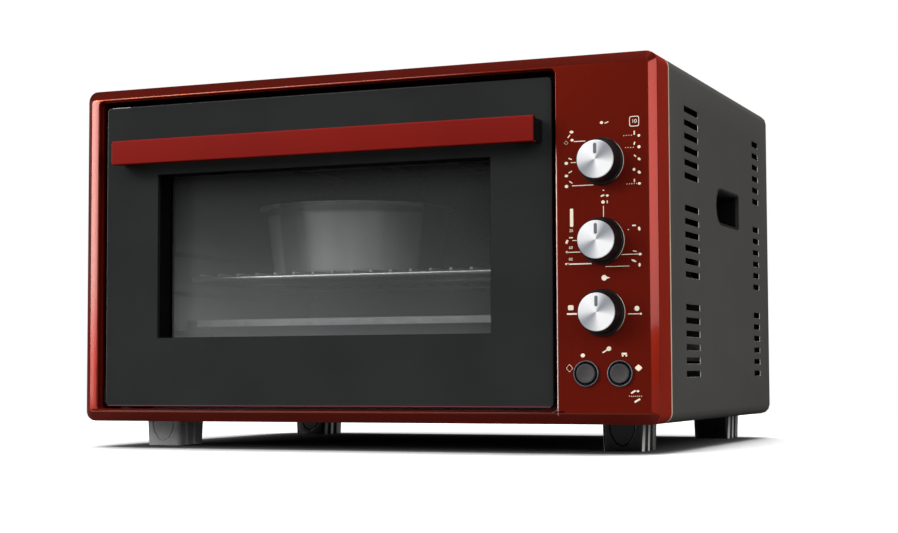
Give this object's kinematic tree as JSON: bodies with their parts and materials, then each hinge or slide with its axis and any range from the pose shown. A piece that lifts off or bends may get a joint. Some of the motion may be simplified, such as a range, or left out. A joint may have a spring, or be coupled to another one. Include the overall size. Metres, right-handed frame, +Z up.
{
  "type": "electric oven",
  "caption": "Table-top electric oven with a glazed drop-down door, side control panel with knobs and push buttons, vented casing, rack, baking tray and round tin.",
  "frame": {"origin": "middle of the oven's bounding box, on the worktop", "axes": "+Z up, -Y the front with the door, +X to the right seen from the front"},
  "size_m": [0.566, 0.445, 0.34],
  "materials": {
    "red_paint": "gloss metallic red",
    "red_trim": "satin red handle trim",
    "grey_paint": "textured dark grey",
    "black_plastic": "gloss black",
    "dark_glass": "dark tinted",
    "clear_glass": "clear",
    "enamel": "grey enamel",
    "galvanised": "galvanised sheet",
    "steel": "bright plated",
    "tin_steel": "bright tinned",
    "spun_aluminium": "circular brushed",
    "element_steel": "heat-darkened sheath",
    "brass": "drawn",
    "seal_grey": "heat-proof silicone",
    "ceramic": "pale insulating body"
  },
  "bodies": {
    "oven": {"front_frame": "red_paint", "casing": "grey_paint", "base_plate": "galvanised", "rear_panel": "grey_paint", "foot_front_left": "black_plastic", "foot_front_right": "black_plastic", "foot_rear_left": "black_plastic", "foot_rear_right": "black_plastic", "grip_cup_left": "black_plastic", "grip_cup_right": "black_plastic", "cavity": "enamel", "cavity_gasket": "seal_grey", "heat_shield": "galvanised", "top_element": "element_steel", "bottom_element": "element_steel", "lamp_lens": "clear_glass", "lamp_holder": "galvanised", "lamp_bulb": "clear_glass", "fan_housing": "galvanised", "fan_motor": "galvanised", "thermostat_capillary": "brass", "hinge_bracket_left": "galvanised", "hinge_bracket_right": "galvanised", "control_bracket": "galvanised", "thermostat_body": "galvanised", "timer_body": "galvanised", "selector_body": "ceramic", "lamp_button_bezel": "steel", "lamp_switch_body": "black_plastic", "fan_button_bezel": "steel", "fan_switch_body": "black_plastic", "cord_gland": "black_plastic", "terminal_block": "ceramic"},
    "door": {"door_glass_outer": "dark_glass", "door_frame": "black_plastic", "door_glass_inner": "clear_glass", "door_inner_panel": "enamel", "handle_trim": "red_trim", "handle_grip": "black_plastic", "hinge_pin_left": "steel", "hinge_pin_right": "steel"},
    "thermostat_control": {"thermostat_knob": "black_plastic", "thermostat_knob_cap": "spun_aluminium", "thermostat_shaft": "steel"},
    "timer_control": {"timer_knob": "black_plastic", "timer_knob_cap": "spun_aluminium", "timer_shaft": "steel"},
    "selector_control": {"selector_knob": "black_plastic", "selector_knob_cap": "spun_aluminium", "selector_shaft": "steel"},
    "lamp_push": {"lamp_button": "black_plastic"},
    "fan_push": {"fan_button": "black_plastic"},
    "fan": {"fan_blade": "galvanised"},
    "rack": {"wire_rack": "steel"},
    "tray": {"baking_tray": "enamel"},
    "tin": {"round_tin": "tin_steel"}
  },
  "joints": [
    {"name": "door_hinge", "type": "hinge", "parent": "oven", "child": "door", "pos_m": [0, -0.18985, 0.049], "axis": [1, 0, 0], "range_deg": [0, 90], "stiffness_Nm_per_rad": 0.6, "springref_deg": -28.65},
    {"name": "thermostat_turn", "type": "hinge", "parent": "oven", "child": "thermostat_control", "pos_m": [0.23515, -0.20385, 0.2472], "axis": [0, 1, 0], "range_deg": [0, 270]},
    {"name": "timer_turn", "type": "hinge", "parent": "oven", "child": "timer_control", "pos_m": [0.23515, -0.20385, 0.1798], "axis": [0, 1, 0], "range_deg": [0, 300]},
    {"name": "selector_turn", "type": "hinge", "parent": "oven", "child": "selector_control", "pos_m": [0.23515, -0.20385, 0.1192], "axis": [0, 1, 0], "continuous": true},
    {"name": "lamp_press", "type": "slide", "parent": "oven", "child": "lamp_push", "axis": [0, 1, 0], "range_m": [0, 0.0035], "stiffness_N_per_m": 400},
    {"name": "fan_press", "type": "slide", "parent": "oven", "child": "fan_push", "axis": [0, 1, 0], "range_m": [0, 0.0035], "stiffness_N_per_m": 400},
    {"name": "fan_spin", "type": "hinge", "parent": "oven", "child": "fan", "pos_m": [0.17, 0.00615, 0.178], "axis": [1, 0, 0], "continuous": true},
    {"name": "rack_slide", "type": "slide", "parent": "oven", "child": "rack", "axis": [0, -1, 0], "range_m": [0, 0.22]},
    {"name": "tray_slide", "type": "slide", "parent": "oven", "child": "tray", "axis": [0, -1, 0], "range_m": [0, 0.101]},
    {"name": "tin_lift", "type": "slide", "parent": "rack", "child": "tin", "axis": [0, 0, 1], "range_m": [0, 0.04]}
  ],
  "couplings": [
    {"joint": "rack_slide", "follows": "door_hinge", "m_per_rad": 0.14},
    {"joint": "tray_slide", "follows": "door_hinge", "m_per_rad": 0.0637}
  ]
}
